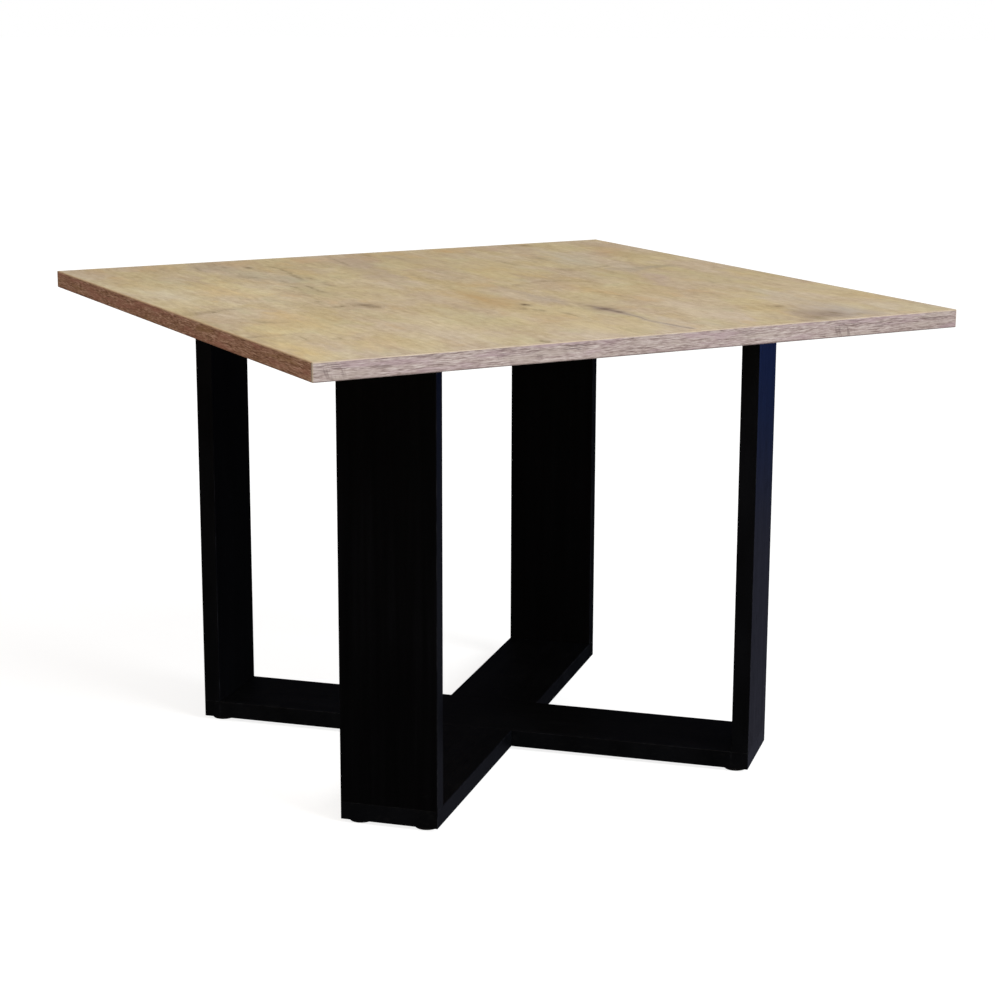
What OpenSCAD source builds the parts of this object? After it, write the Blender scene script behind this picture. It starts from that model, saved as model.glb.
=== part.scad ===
// Low square table on a crossed board base.
//
// The top is an 18 mm laminated panel with a glued band on each edge. Under it
// two closed board frames cross on the diagonals: an upright at each corner,
// with its broad face square to the diagonal, stands on a flat floor rail and
// carries a flat upper rail. The two floor rails are half-lapped into each
// other at the crossing, and so are the two upper rails. Confirmat screws
// through the rails hold the uprights, wood screws through the upper rails
// hold the top, and two nail-on glides sit under each end of the floor rails.
//
// Millimetres, +Z up. The origin is on the floor, under the centre of the top.
// The front is -Y and the right is +X. Rail a runs from the front left corner
// to the back right corner, and rail b from the front right to the back left.

/* [Top] */
// Side of the square top over its edge bands
top_side = 700; // [660:1:800]
// Thickness of the top
top_t = 18; // [18:1:28]
// Thickness of the bands glued to the edges of the top
top_band = 2; // [1.5:0.5:3]
// Radius of the eased arrises of the edge bands
top_arris = 1.2; // [0.4:0.1:1.4]
// Radius of the four upright corners of the top
top_corner_r = 1.5; // [0.5:0.1:1.9]

/* [Base] */
// Height of the table from the floor to the surface of the top
table_h = 490; // [420:1:760]
// Width of the base boards, their edge bands included
board_w = 100; // [96:1:120]
// Thickness of the base boards
board_t = 18; // [16:1:22]
// Distance from the centre to the outer face of each upright
base_r = 307; // [250:1:320]
// Thickness of the bands on the base boards
board_band = 1; // [0.8:0.1:1.5]
// Radius of the eased arrises of the base boards
board_arris = 0.5; // [0.2:0.1:0.7]
// Play on each side of the half-laps where the rails cross
lap_play = 0.15; // [0.1:0.05:0.5]

/* [Confirmat screws] */
// Length of a confirmat screw
confirmat_len = 50; // [40:1:60]
// Distance of the floor rail's screws from the middle of the board
floor_screw_y = 14; // [8:1:15]
// Distance of the upper rail's screws from the middle of the board
upper_screw_y = 30; // [10:1:38]

/* [Top fixing screws] */
// Length of a top fixing screw
fixing_len = 30; // [25:1:32]
// Distance of the inner fixing screws from the centre
fixing_r1 = 115; // [80:1:150]
// Distance of the outer fixing screws from the centre
fixing_r2 = 220; // [170:1:230]

/* [Glides] */
// Diameter of a glide
glide_d = 24; // [18:1:26]
// Height of a glide under the rail
glide_h = 4; // [2.5:0.5:5]
// Distance of a glide's centre from the outer face of the upright
glide_in = 16; // [13.5:0.5:40]
// Distance of a glide's centre from the middle of the board
glide_y = 34; // [33:0.5:35]
// Length of a glide's nail above the disc
nail_len = 14; // [8:1:15]

/* [Hidden] */
$fn = 48;
eps = 0.01;

// Levels
floor_z = glide_h;
floor_top = floor_z + board_t;
top_z = table_h - top_t;
upper_z = top_z - board_t;
upright_h = upper_z - floor_top;

// Widths inside the bands
core_w = board_w - 2 * board_band;
panel_side = top_side - 2 * top_band;
screw_r = base_r - board_t / 2;
glide_r = base_r - glide_in;

// Confirmat screw
conf_head_r = 5;
conf_shank_r = 3.5;
conf_shank = 17;
conf_crest = 3.3;
conf_root = 2.4;
conf_pitch = 3;
conf_turns = floor((confirmat_len - conf_shank - 5) / conf_pitch);

// Top fixing screw
fix_head_r = 3.8;
fix_shank_r = 2;
fix_crest = 1.95;
fix_root = 1.3;
fix_pitch = 1.8;
fix_shank = 12;
fix_turns = floor((fixing_len - fix_shank - 3) / fix_pitch);

// Colours
oak = [0.76, 0.68, 0.54];
band_oak = [0.60, 0.50, 0.43];
black = [0.03, 0.03, 0.04];
black_band = [0.05, 0.05, 0.07];
zinc = [0.75, 0.76, 0.78];
nylon = [0.06, 0.06, 0.07];

// ---- Shapes shared by several pieces ----

// Rectangle w by h about the origin with its four corners rounded to r
module eased_rect(w, h, r) {
  square([w - 2 * r, h], center = true);
  square([w, h - 2 * r], center = true);
  for (sx = [-1, 1], sy = [-1, 1])
    translate([sx * (w / 2 - r), sy * (h / 2 - r)]) circle(r = r);
}

// Board l by w by t lying flat on z = 0, with all its arrises eased to r and
// its four upright corners to rc
module eased_board(l, w, t, r, rc) {
  intersection() {
    linear_extrude(height = t) eased_rect(l, w, rc);
    translate([0, 0, t / 2]) rotate([90, 0, 90])
      linear_extrude(height = l + 2, center = true) eased_rect(w, t, r);
    translate([0, 0, t / 2]) rotate([90, 0, 0])
      linear_extrude(height = w + 2, center = true) eased_rect(l, t, r);
  }
}

// Box from one corner to the other
module box(a, b) translate(a) cube(b - a);

// Turns a piece drawn along +X onto a diagonal: rail a at 45, rail b at -45
module on_diagonal(angle) rotate([0, 0, angle]) children();

// ---- Screws, drawn head down at the origin and pointing up ----

// Half section of a confirmat screw: head, plain shank, coarse thread, point
function confirmat_section() = concat(
  [[0, 0], [conf_head_r, 0], [conf_head_r, 0.7],
   [conf_shank_r, 3.2], [conf_shank_r, conf_shank]],
  [for (i = [0 : conf_turns - 1]) each
    [[conf_root, conf_shank + 0.6 + i * conf_pitch],
     [conf_root, conf_shank + 1.6 + i * conf_pitch],
     [conf_crest, conf_shank + 2.3 + i * conf_pitch],
     [conf_root, conf_shank + 3.0 + i * conf_pitch]]],
  [[conf_root, confirmat_len - 2.6], [0, confirmat_len]]);

module confirmat() {
  difference() {
    rotate_extrude() polygon(confirmat_section());
    translate([0, 0, -eps]) cylinder(d = 4.62, h = 2.6 + eps, $fn = 6);
  }
}

// Room for a confirmat in the rail that its head sits in
module confirmat_clearance() {
  translate([0, 0, -eps]) cylinder(r = conf_head_r + 0.1, h = 0.8 + eps);
  translate([0, 0, 0.8 - eps])
    cylinder(r1 = conf_head_r + 0.1, r2 = conf_shank_r + 0.1, h = 2.5 + eps);
  translate([0, 0, -1]) cylinder(r = conf_shank_r + 0.1, h = board_t + 2);
}

// Pilot hole for a confirmat in the end of an upright
module confirmat_pilot() {
  translate([0, 0, -eps]) cylinder(r = conf_shank_r, h = confirmat_len - board_t + 1);
}

// Half section of a countersunk wood screw
function fixing_section() = concat(
  [[0, 0], [fix_head_r, 0], [fix_head_r, 0.3],
   [fix_shank_r, 2.2], [fix_shank_r, fix_shank]],
  [for (i = [0 : fix_turns - 1]) each
    [[fix_root, fix_shank + 0.4 + i * fix_pitch],
     [fix_root, fix_shank + 0.9 + i * fix_pitch],
     [fix_crest, fix_shank + 1.3 + i * fix_pitch],
     [fix_root, fix_shank + 1.7 + i * fix_pitch]]],
  [[fix_root, fixing_len - 2.4], [0, fixing_len]]);

module fixing_screw() {
  difference() {
    rotate_extrude() polygon(fixing_section());
    for (a = [0, 90]) rotate([0, 0, a])
      box([-2.1, -0.5, -eps], [2.1, 0.5, 1.5]);
  }
}

// Room for a fixing screw in the upper rail
module fixing_clearance() {
  translate([0, 0, -eps]) cylinder(r = fix_head_r + 0.1, h = 0.35 + eps);
  translate([0, 0, 0.35 - eps])
    cylinder(r1 = fix_head_r + 0.1, r2 = fix_shank_r + 0.1, h = 1.9 + eps);
  translate([0, 0, -1]) cylinder(r = fix_shank_r + 0.1, h = board_t + 2);
}

// ---- Where the screws and glides go ----

module at_floor_screws()
  for (a = [45 : 90 : 315], y = [-floor_screw_y, floor_screw_y])
    rotate([0, 0, a]) translate([screw_r, y, floor_z]) children();

module at_upper_screws()
  for (a = [45 : 90 : 315], y = [-upper_screw_y, upper_screw_y])
    rotate([0, 0, a]) translate([screw_r, y, top_z]) mirror([0, 0, 1]) children();

module at_fixing_screws()
  for (a = [45 : 90 : 315], r = [fixing_r1, fixing_r2])
    rotate([0, 0, a]) translate([r, 0, upper_z]) children();

module at_glides()
  for (a = [45 : 90 : 315], y = [-glide_y, glide_y])
    rotate([0, 0, a]) translate([glide_r, y, 0]) children();

// ---- Top ----

// Outer shape of the whole top, bands included
module top_outline()
  translate([0, 0, top_z]) eased_board(top_side, top_side, top_t, top_arris, top_corner_r);

module tabletop_panel() {
  color(oak) difference() {
    box([-panel_side / 2, -panel_side / 2, top_z], [panel_side / 2, panel_side / 2, table_h]);
    at_fixing_screws() translate([0, 0, board_t - eps])
      cylinder(r = fix_shank_r + 0.05, h = fixing_len - board_t + 1);
  }
}

// A band as long as the top, at the front or the back
module long_band(s) intersection() {
  top_outline();
  scale([1, s, 1]) box([-top_side, panel_side / 2, top_z - 1], [top_side, top_side, table_h + 1]);
}

// A band between the two long ones, at the left or the right
module short_band(s) intersection() {
  top_outline();
  scale([s, 1, 1]) box([panel_side / 2, -panel_side / 2, top_z - 1],
                       [top_side, panel_side / 2, table_h + 1]);
}

module top_edge_front() color(band_oak) mirror([0, 1, 0]) long_band(1);
module top_edge_back() color(band_oak) long_band(1);
module top_edge_right() color(band_oak) short_band(1);
module top_edge_left() color(band_oak) mirror([1, 0, 0]) short_band(1);

// ---- Uprights ----

// Outline of an upright with its bands, in plan
module upright_plan() translate([screw_r, 0]) eased_rect(board_t, board_w, board_arris);

module upright(angle) {
  color(black) rotate([0, 0, angle]) difference() {
    box([base_r - board_t, -core_w / 2, floor_top], [base_r, core_w / 2, upper_z]);
    for (y = [-floor_screw_y, floor_screw_y])
      translate([screw_r, y, floor_top]) confirmat_pilot();
    for (y = [-upper_screw_y, upper_screw_y])
      translate([screw_r, y, upper_z]) mirror([0, 0, 1]) confirmat_pilot();
  }
}

// Band on one narrow edge of an upright: s is -1 for the edge on the left as
// seen from outside the table, and 1 for the edge on the right
module upright_edge(angle, s) {
  color(black_band) rotate([0, 0, angle]) intersection() {
    translate([0, 0, floor_top]) linear_extrude(height = upright_h) upright_plan();
    translate([0, s > 0 ? core_w / 2 : -board_w, floor_top - 1])
      cube([base_r + 1, board_w - core_w / 2, upright_h + 2]);
  }
}

module upright_front_left() upright(225);
module upright_front_left_edge_left() upright_edge(225, -1);
module upright_front_left_edge_right() upright_edge(225, 1);
module upright_front_right() upright(315);
module upright_front_right_edge_left() upright_edge(315, -1);
module upright_front_right_edge_right() upright_edge(315, 1);
module upright_back_right() upright(45);
module upright_back_right_edge_left() upright_edge(45, -1);
module upright_back_right_edge_right() upright_edge(45, 1);
module upright_back_left() upright(135);
module upright_back_left_edge_left() upright_edge(135, -1);
module upright_back_left_edge_right() upright_edge(135, 1);

// ---- Rails ----

// Outer shape of a rail with its bands, lying along X on z = 0
module rail_outline() eased_board(2 * base_r, board_w, board_t, board_arris, board_arris);

// Half-lap cut at the crossing: up is true when the upper half goes
module lap_cut(up)
  box([-board_w / 2 - lap_play, -board_w, up ? board_t / 2 : -1],
      [board_w / 2 + lap_play, board_w, up ? board_t + 1 : board_t / 2]);

// Core board of a rail
module rail_core(up) difference() {
  box([-base_r + board_band, -core_w / 2, 0], [base_r - board_band, core_w / 2, board_t]);
  lap_cut(up);
}

// Band along one long edge of a rail: s is 1 for the +Y edge
module rail_edge(up, s) difference() {
  intersection() {
    rail_outline();
    translate([-base_r - 1, s > 0 ? core_w / 2 : -board_w, -1])
      cube([2 * base_r + 2, board_w - core_w / 2, board_t + 2]);
  }
  lap_cut(up);
}

// Band on one end of a rail, between its long bands: s is 1 for the +X end
module rail_end(s) intersection() {
  rail_outline();
  translate([s > 0 ? base_r - board_band : -base_r - 1, -core_w / 2, -1])
    cube([board_band + 1, core_w, board_t + 2]);
}

// Floor rail with the room for its screws and glide nails
module floor_rail(angle, up) difference() {
  translate([0, 0, floor_z]) on_diagonal(angle) rail_core(up);
  at_floor_screws() confirmat_clearance();
  at_glides() translate([0, 0, floor_z - eps]) cylinder(r = 1.25, h = nail_len + 0.5);
}

// Upper rail with the room for its screws
module upper_rail(angle, up) difference() {
  translate([0, 0, upper_z]) on_diagonal(angle) rail_core(up);
  at_upper_screws() confirmat_clearance();
  at_fixing_screws() fixing_clearance();
}

module in_floor_rail(angle) translate([0, 0, floor_z]) on_diagonal(angle) children();
module in_upper_rail(angle) translate([0, 0, upper_z]) on_diagonal(angle) children();

module floor_rail_a() color(black) floor_rail(45, true);
module floor_rail_a_edge_left() color(black_band) in_floor_rail(45) rail_edge(true, 1);
module floor_rail_a_edge_right() color(black_band) in_floor_rail(45) rail_edge(true, -1);
module floor_rail_a_end_front() color(black_band) in_floor_rail(45) rail_end(-1);
module floor_rail_a_end_back() color(black_band) in_floor_rail(45) rail_end(1);

module floor_rail_b() color(black) floor_rail(-45, false);
module floor_rail_b_edge_left() color(black_band) in_floor_rail(-45) rail_edge(false, -1);
module floor_rail_b_edge_right() color(black_band) in_floor_rail(-45) rail_edge(false, 1);
module floor_rail_b_end_front() color(black_band) in_floor_rail(-45) rail_end(1);
module floor_rail_b_end_back() color(black_band) in_floor_rail(-45) rail_end(-1);

module upper_rail_a() color(black) upper_rail(45, true);
module upper_rail_a_edge_left() color(black_band) in_upper_rail(45) rail_edge(true, 1);
module upper_rail_a_edge_right() color(black_band) in_upper_rail(45) rail_edge(true, -1);
module upper_rail_a_end_front() color(black_band) in_upper_rail(45) rail_end(-1);
module upper_rail_a_end_back() color(black_band) in_upper_rail(45) rail_end(1);

module upper_rail_b() color(black) upper_rail(-45, false);
module upper_rail_b_edge_left() color(black_band) in_upper_rail(-45) rail_edge(false, -1);
module upper_rail_b_edge_right() color(black_band) in_upper_rail(-45) rail_edge(false, 1);
module upper_rail_b_end_front() color(black_band) in_upper_rail(-45) rail_end(1);
module upper_rail_b_end_back() color(black_band) in_upper_rail(-45) rail_end(-1);

// ---- Fasteners and glides ----

module floor_confirmat_screws() color(zinc) at_floor_screws() confirmat();
module upper_confirmat_screws() color(zinc) at_upper_screws() confirmat();
module top_fixing_screws() color(zinc) at_fixing_screws() fixing_screw();

// A nylon disc with an eased rim, moulded round the head of its nail
module glides() {
  color(nylon) at_glides() difference() {
    rotate_extrude() {
      translate([0, 0.8]) square([glide_d / 2, glide_h - 0.8]);
      square([glide_d / 2 - 0.8, glide_h - 0.1]);
      translate([glide_d / 2 - 0.8, 0.8]) circle(r = 0.8);
    }
    translate([0, 0, 0.9]) cylinder(r = 3.55, h = 0.9);
    translate([0, 0, 1.7]) cylinder(r = 1.2, h = glide_h);
  }
}

// The nails of the glides: flat head inside the disc, shank in the rail
module glide_nails() {
  color(zinc) at_glides() rotate_extrude()
    polygon([[0, 0.95], [3.5, 0.95], [3.5, 1.75], [1.15, 1.75],
             [1.15, floor_z + nail_len - 2.5], [0, floor_z + nail_len]]);
}

tabletop_panel();
top_edge_front();
top_edge_right();
top_edge_back();
top_edge_left();
upright_front_left();
upright_front_left_edge_left();
upright_front_left_edge_right();
upright_front_right();
upright_front_right_edge_left();
upright_front_right_edge_right();
upright_back_right();
upright_back_right_edge_left();
upright_back_right_edge_right();
upright_back_left();
upright_back_left_edge_left();
upright_back_left_edge_right();
floor_rail_a();
floor_rail_a_edge_left();
floor_rail_a_edge_right();
floor_rail_a_end_front();
floor_rail_a_end_back();
floor_rail_b();
floor_rail_b_edge_left();
floor_rail_b_edge_right();
floor_rail_b_end_front();
floor_rail_b_end_back();
upper_rail_a();
upper_rail_a_edge_left();
upper_rail_a_edge_right();
upper_rail_a_end_front();
upper_rail_a_end_back();
upper_rail_b();
upper_rail_b_edge_left();
upper_rail_b_edge_right();
upper_rail_b_end_front();
upper_rail_b_end_back();
floor_confirmat_screws();
upper_confirmat_screws();
top_fixing_screws();
glides();
glide_nails();
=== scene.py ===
"""The bistro table: looks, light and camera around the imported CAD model. Metres, Z up, in the row frame.

+X is the table's right, -Y its front. The boards of the base lie on the two diagonals of the top. Every CAD piece keeps its own shape; this script gives each a
material made from nodes, and builds the studio around them.
"""

import math

import bmesh
import bpy
from mathutils import Matrix, Vector

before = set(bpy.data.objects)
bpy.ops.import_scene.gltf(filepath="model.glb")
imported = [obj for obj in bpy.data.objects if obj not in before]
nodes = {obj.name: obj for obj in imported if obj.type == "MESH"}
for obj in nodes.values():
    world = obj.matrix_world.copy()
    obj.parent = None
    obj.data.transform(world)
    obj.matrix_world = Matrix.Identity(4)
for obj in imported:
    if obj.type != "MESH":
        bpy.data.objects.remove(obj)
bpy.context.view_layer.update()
scene = bpy.context.scene


# ---------------------------------------------------------------- node helper


class Net:
    """Adds nodes to a tree. A call takes numbers, colours or sockets, and returns an output socket."""

    def __init__(self, tree):
        self.tree = tree

    def put(self, socket, value):
        if isinstance(value, bpy.types.NodeSocket):
            self.tree.links.new(value, socket)
        elif value is not None:
            socket.default_value = value

    def node(self, kind, values=(), **props):
        n = self.tree.nodes.new(kind)
        for k, v in props.items():
            setattr(n, k, v)
        for s, v in zip(n.inputs, values):
            self.put(s, v)
        return n

    def math(self, op, a, b=None, c=None, clamp=False):
        return self.node(
            "ShaderNodeMath", (a, b, c), operation=op, use_clamp=clamp
        ).outputs[0]

    def add(self, a, b):
        return self.math("ADD", a, b)

    def sub(self, a, b):
        return self.math("SUBTRACT", a, b)

    def mul(self, a, b):
        return self.math("MULTIPLY", a, b)

    def madd(self, a, b, c):
        return self.math("MULTIPLY_ADD", a, b, c)

    def biggest(self, *values):
        out = values[0]
        for v in values[1:]:
            out = self.math("MAXIMUM", out, v)
        return out

    def smooth(self, v, a, b, to_a=0.0, to_b=1.0):
        """Eased step: to_a where v is at a, to_b where it is at b."""
        if isinstance(a, float) and isinstance(b, float) and a > b:
            a, b, to_a, to_b = b, a, to_b, to_a
        return self.node(
            "ShaderNodeMapRange",
            (v, a, b, to_a, to_b),
            interpolation_type="SMOOTHSTEP",
        ).outputs[0]

    def line(self, v, a, b, to_a=0.0, to_b=1.0):
        return self.node("ShaderNodeMapRange", (v, a, b, to_a, to_b)).outputs[0]

    def xyz(self, x, y, z):
        return self.node("ShaderNodeCombineXYZ", (x, y, z)).outputs[0]

    def split(self, v):
        return self.node("ShaderNodeSeparateXYZ", (v,)).outputs[:]

    def point(self):
        """The point on the surface in the row frame, since every CAD object sits at the origin."""
        return self.node("ShaderNodeTexCoord").outputs["Object"]

    def normal(self):
        return self.node("ShaderNodeNewGeometry").outputs["True Normal"]

    def noise(self, v, scale=1.0, detail=3.0, rough=0.5, distort=0.0):
        n = self.node("ShaderNodeTexNoise", noise_dimensions="3D")
        for k, x in (
            ("Vector", v),
            ("Scale", scale),
            ("Detail", detail),
            ("Roughness", rough),
            ("Distortion", distort),
        ):
            self.put(n.inputs[k], x)
        return n.outputs[0]

    def ramp(self, v, *stops):
        n = self.node("ShaderNodeValToRGB", (v,))
        e = n.color_ramp.elements
        e[0].position, e[0].color = stops[0][0], (*stops[0][1], 1)
        e[1].position, e[1].color = stops[-1][0], (*stops[-1][1], 1)
        for p, c in stops[1:-1]:
            new = e.new(p)
            new.color = (*c, 1)
        return n.outputs[0]

    def mix(self, f, a, b, blend="MIX"):
        n = self.node(
            "ShaderNodeMix", data_type="RGBA", blend_type=blend, clamp_factor=True
        )
        self.put(n.inputs[0], f)
        for k, v in ((6, a), (7, b)):
            self.put(
                n.inputs[k],
                (*v, 1) if isinstance(v, tuple) and len(v) == 3 else v,
            )
        return n.outputs[2]

    def grow(self, v, s):
        return self.node(
            "ShaderNodeVectorMath", (v, (s, s, s)), operation="MULTIPLY"
        ).outputs[0]

    def curve(self, v, points):
        """A smooth curve through points (in, out), both between 0 and 1."""
        n = self.node("ShaderNodeFloatCurve", (1.0, v))
        c = n.mapping.curves[0]
        c.points[0].location, c.points[1].location = points[0], points[-1]
        for p in points[1:-1]:
            c.points.new(*p)
        for p in c.points:
            p.handle_type = "AUTO_CLAMPED"
        n.mapping.update()
        return n.outputs[0]


def srgb(r, g, b, gain=1.0):
    """A display colour, 0 to 255, as the linear colour that a shader takes."""
    return tuple(
        gain * ((c / 255 + 0.055) / 1.055) ** 2.4 if c > 10 else gain * c / 255 / 12.92
        for c in (r, g, b)
    )


def oak(r, g, b):
    """The same for the oak decor, scaled to the studio's light."""
    return tuple(k * c for k, c in zip((1.02, 1.03, 1.04), srgb(r, g, b)))


def material(name):
    m = bpy.data.materials.new(name)
    m.use_nodes = True
    m.node_tree.nodes.clear()
    net = Net(m.node_tree)
    shader = net.node("ShaderNodeBsdfPrincipled")
    out = net.node("ShaderNodeOutputMaterial")
    m.node_tree.links.new(shader.outputs[0], out.inputs[0])
    return m, net, shader


def finish_shader(net, shader, colour, rough, height=None, depth=0.0, **fixed):
    net.put(shader.inputs["Base Color"], colour)
    net.put(shader.inputs["Roughness"], rough)
    for k, v in fixed.items():
        shader.inputs[k.replace("_", " ")].default_value = v
    if height is not None:
        b = net.node("ShaderNodeBump")
        net.put(b.inputs["Strength"], 1.0)
        net.put(b.inputs["Distance"], depth)
        net.put(b.inputs["Height"], height)
        net.put(shader.inputs["Normal"], b.outputs[0])


def wear(node, m):
    o = nodes[node]
    o.data.materials.clear()
    o.data.materials.append(m)


# ---------------------------------------------------------------- oak top

# The decor of the top, from the photograph, in millimetres on the top: places of soft patches, knots and cracks in the
# oak.
# (x, y, half width, half length, lean, colour as displayed, strength)
PATCHES = [
    (-310, 105, 28, 88, 0, (204, 190, 164), 0.50),
    (-250, 100, 26, 60, 0, (204, 174, 122), 0.60),
    (-272, 262, 30, 55, 5, (182, 160, 124), 0.25),
    (-188, 292, 24, 50, 0, (166, 150, 130), 0.45),
    (-170, 205, 26, 60, -8, (178, 168, 142), 0.40),
    (-38, -66, 37, 100, 3, (186, 155, 112), 0.60),
    (-29, -70, 19, 84, 2, (181, 149, 104), 0.54),
    (-39, 188, 23, 125, 10, (171, 150, 132), 0.52),
    (-14, 290, 26, 56, 8, (174, 150, 126), 0.36),
    (41, 270, 11, 66, -6, (168, 148, 126), 0.50),
    (-60, 315, 30, 30, 0, (192, 158, 114), 0.50),
    (-150, 322, 30, 28, 0, (188, 156, 118), 0.50),
    (-248, 322, 34, 30, 0, (192, 160, 116), 0.45),
    (128, 322, 28, 22, 0, (194, 152, 106), 0.50),
    (172, 326, 22, 22, 0, (186, 146, 130), 0.45),
    (90, -12, 46, 28, 0, (186, 160, 124), 0.32),
    (90, 150, 52, 95, 0, (192, 170, 118), 0.50),
    (52, 235, 36, 70, 0, (190, 170, 128), 0.40),
    (216, 185, 32, 90, 20, (180, 168, 153), 0.45),
    (229, 104, 20, 16, 0, (196, 182, 164), 0.25),
    (252, 78, 46, 22, -12, (150, 140, 124), 0.50),
    (168, 98, 16, 18, 0, (160, 138, 112), 0.35),
    (298, 232, 22, 52, 24, (192, 156, 120), 0.55),
    (176, 40, 34, 42, 10, (184, 175, 134), 0.42),
    (214, -5, 17, 60, 26, (176, 150, 142), 0.55),
    (150, -90, 46, 46, 0, (188, 160, 124), 0.35),
    (262, -40, 44, 70, 0, (186, 172, 134), 0.40),
    (-262, -112, 32, 60, 6, (204, 174, 120), 0.55),
    (-300, -170, 28, 34, 0, (204, 186, 138), 0.40),
    (-330, -280, 22, 70, 0, (208, 180, 122), 0.55),
    (-262, -290, 34, 44, 0, (200, 172, 118), 0.45),
    (-166, -235, 42, 110, 0, (206, 190, 164), 0.46),
    (-105, -190, 36, 80, 0, (196, 186, 146), 0.50),
    (-20, -295, 44, 52, 0, (210, 190, 142), 0.50),
    (-42, -215, 26, 46, 0, (184, 160, 128), 0.40),
    (112, -250, 28, 84, 0, (206, 188, 166), 0.42),
    (60, -130, 30, 60, 0, (188, 174, 132), 0.35),
    (250, -205, 32, 80, 8, (196, 185, 168), 0.42),
    (-108, 215, 26, 80, 0, (186, 166, 120), 0.40),
    (-120, 30, 34, 90, 0, (188, 168, 126), 0.35),
    (318, -150, 26, 70, 0, (196, 176, 146), 0.40),
    (320, -300, 30, 50, 0, (196, 182, 156), 0.40),
    (21, -92, 13, 58, 5, (168, 154, 140), 0.40),
    (46, -300, 22, 55, 0, (204, 192, 174), 0.45),
    (234, -306, 42, 50, 0, (172, 160, 146), 0.60),
    (210, -316, 33, 38, 14, (149, 127, 112), 0.64),
    (258, -285, 20, 46, 8, (186, 177, 168), 0.30),
    (-148, 170, 22, 46, 4, (158, 148, 130), 0.30),
    (-164, 80, 22, 50, 2, (160, 150, 132), 0.32),
    (-163, -54, 20, 26, -10, (168, 148, 120), 0.34),
]
# (x, y, half width, half length, lean, strength)
KNOTS = [
    (39.5, -187, 12.0, 15.0, -6, 0.70),
    (37.5, -167, 7.0, 16, -5, 0.38),
    (40.5, -208, 7.0, 15, -2, 0.48),
    (-160, -55, 10.0, 12, -22, 0.31),
    (216, -308, 8, 18, 24, 0.10),
    (204, -250, 6.0, 7.0, -25, 0.18),
    (236, 332, 9, 8, 0, 0.45),
    (-340, -197, 9, 4, 0, 0.28),
    (-17, -126, 4.0, 8.5, 6, 0.30),
]
# Checks: short dark strokes (x, y, half width, half length, lean, strength)
CHECKS = [
    (-161, -51, 9.0, 8.5, -16, 0.42),
    (-157, -67, 7.5, 8, -13, 0.50),
    (-188, -52, 6.0, 5.5, -12, 0.66),
    (-17, -126, 3.2, 9.5, 6, 1.0),
    (-204, 292, 1.9, 21, 9, 0.30),
    (-172, 324, 1.8, 19, 11, 0.30),
    (-173, 297, 2.4, 7, -3, 0.36),
    (-150, 279, 3.3, 11, -3, 0.70),
    (-179, 228, 1.6, 26, 19, 0.18),
    (-184, 197, 6.9, 27, -25, 0.20),
    (-176, 195, 3.7, 9, -5, 0.34),
    (-123, 267, 2.7, 15, -6, 0.42),
    (-126, 224, 2.2, 31, 8, 0.50),
    (-133, 179, 2.8, 21, 8, 0.68),
    (-126, 161, 3.2, 10, -3, 0.42),
    (-129, 100, 2.3, 21, 0, 0.36),
    (-162, 151, 2.9, 25, -2, 0.24),
    (-155, 98, 2.8, 19, 4, 0.52),
    (-157, 62, 2.9, 21, 1, 0.50),
    (-170, 99, 2.6, 22, 0, 0.34),
    (-185, 31, 2.2, 14, 3, 0.16),
    (-193, -13, 2.4, 12, 2, 0.34),
    (-334, -34, 7.5, 13, -77, 0.44),
    (-317, -31, 5.5, 15, 59, 0.52),
    (-292, -22, 5.5, 16, 82, 0.28),
    (-290, -120, 6.3, 16, -51, 0.38),
    (-339, -193, 4.4, 12, -82, 0.18),
    (-311, -195, 4.4, 18, -84, 0.20),
    (-302, -225, 2.2, 11, 7, 0.34),
    (-275, -239, 4.6, 5, 83, 0.38),
    (20, 320, 2.5, 17, 5, 0.34),
    (21, 274, 1.8, 15, 12, 0.16),
    (-35, 281, 2.1, 48, 9, 0.32),
    (40, 270, 3.4, 23, 4, 0.18),
    (27, 139, 3.3, 17, -3, 0.16),
    (23, 92, 5.2, 17, -10, 0.18),
    (132, 187, 3.2, 29, 0, 0.36),
    (238, 320, 5.8, 20, -39, 0.22),
    (187, 201, 3.2, 19, 6, 0.34),
    (163, 100, 6.7, 15, -41, 0.20),
    (159, 114, 5.0, 11, -24, 0.06),
    (-33, -148, 3.0, 8, 5, 0.46),
    (-23, -165, 4.0, 8, -21, 0.60),
    (-10, -200, 2.9, 21, 5, 0.42),
    (-116, -341, 3.4, 9, 5, 0.95),
    (31, 12, 4.9, 43, 6, 0.18),
    (216, 110, 3.7, 20, 63, 0.36),
    (253, 106, 5.4, 26, -47, 0.20),
    (227, 80, 5.4, 24, -80, 0.14),
    (289, 82, 5.5, 29, -54, 0.16),
    (216, -7, 9.2, 7, -33, 0.14),
    (249, -65, 2.7, 14, 8, 0.28),
    (36, -142, 5.1, 13, -15, 0.14),
    (204, -250, 6.2, 5.5, -25, 0.44),
    (200, -289, 3.3, 22, 13, 0.26),
    (219, -322, 4.0, 20, -14, 0.30),
    (208, -326, 3.6, 16, -4, 0.42),
    (193, -335, 6.6, 16, -2, 0.48),
    (226, -314, 4.8, 11, -14, 0.48),
    (240, -332, 5.3, 16, 81, 0.26),
    (82, -275, 3.8, 17, -1, 0.14),
    (80, -320, 2.8, 11, 1, 0.20),
    (53, 7, 5.2, 9, 75, 0.26),
    (73, 15, 4.1, 13, 63, 0.10),
    (97, 21, 6.0, 14, 89, 0.30),
    (112, 15, 6.1, 7, -25, 0.08),
    (132, -4, 6.0, 8, -57, 0.24),
]
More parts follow.
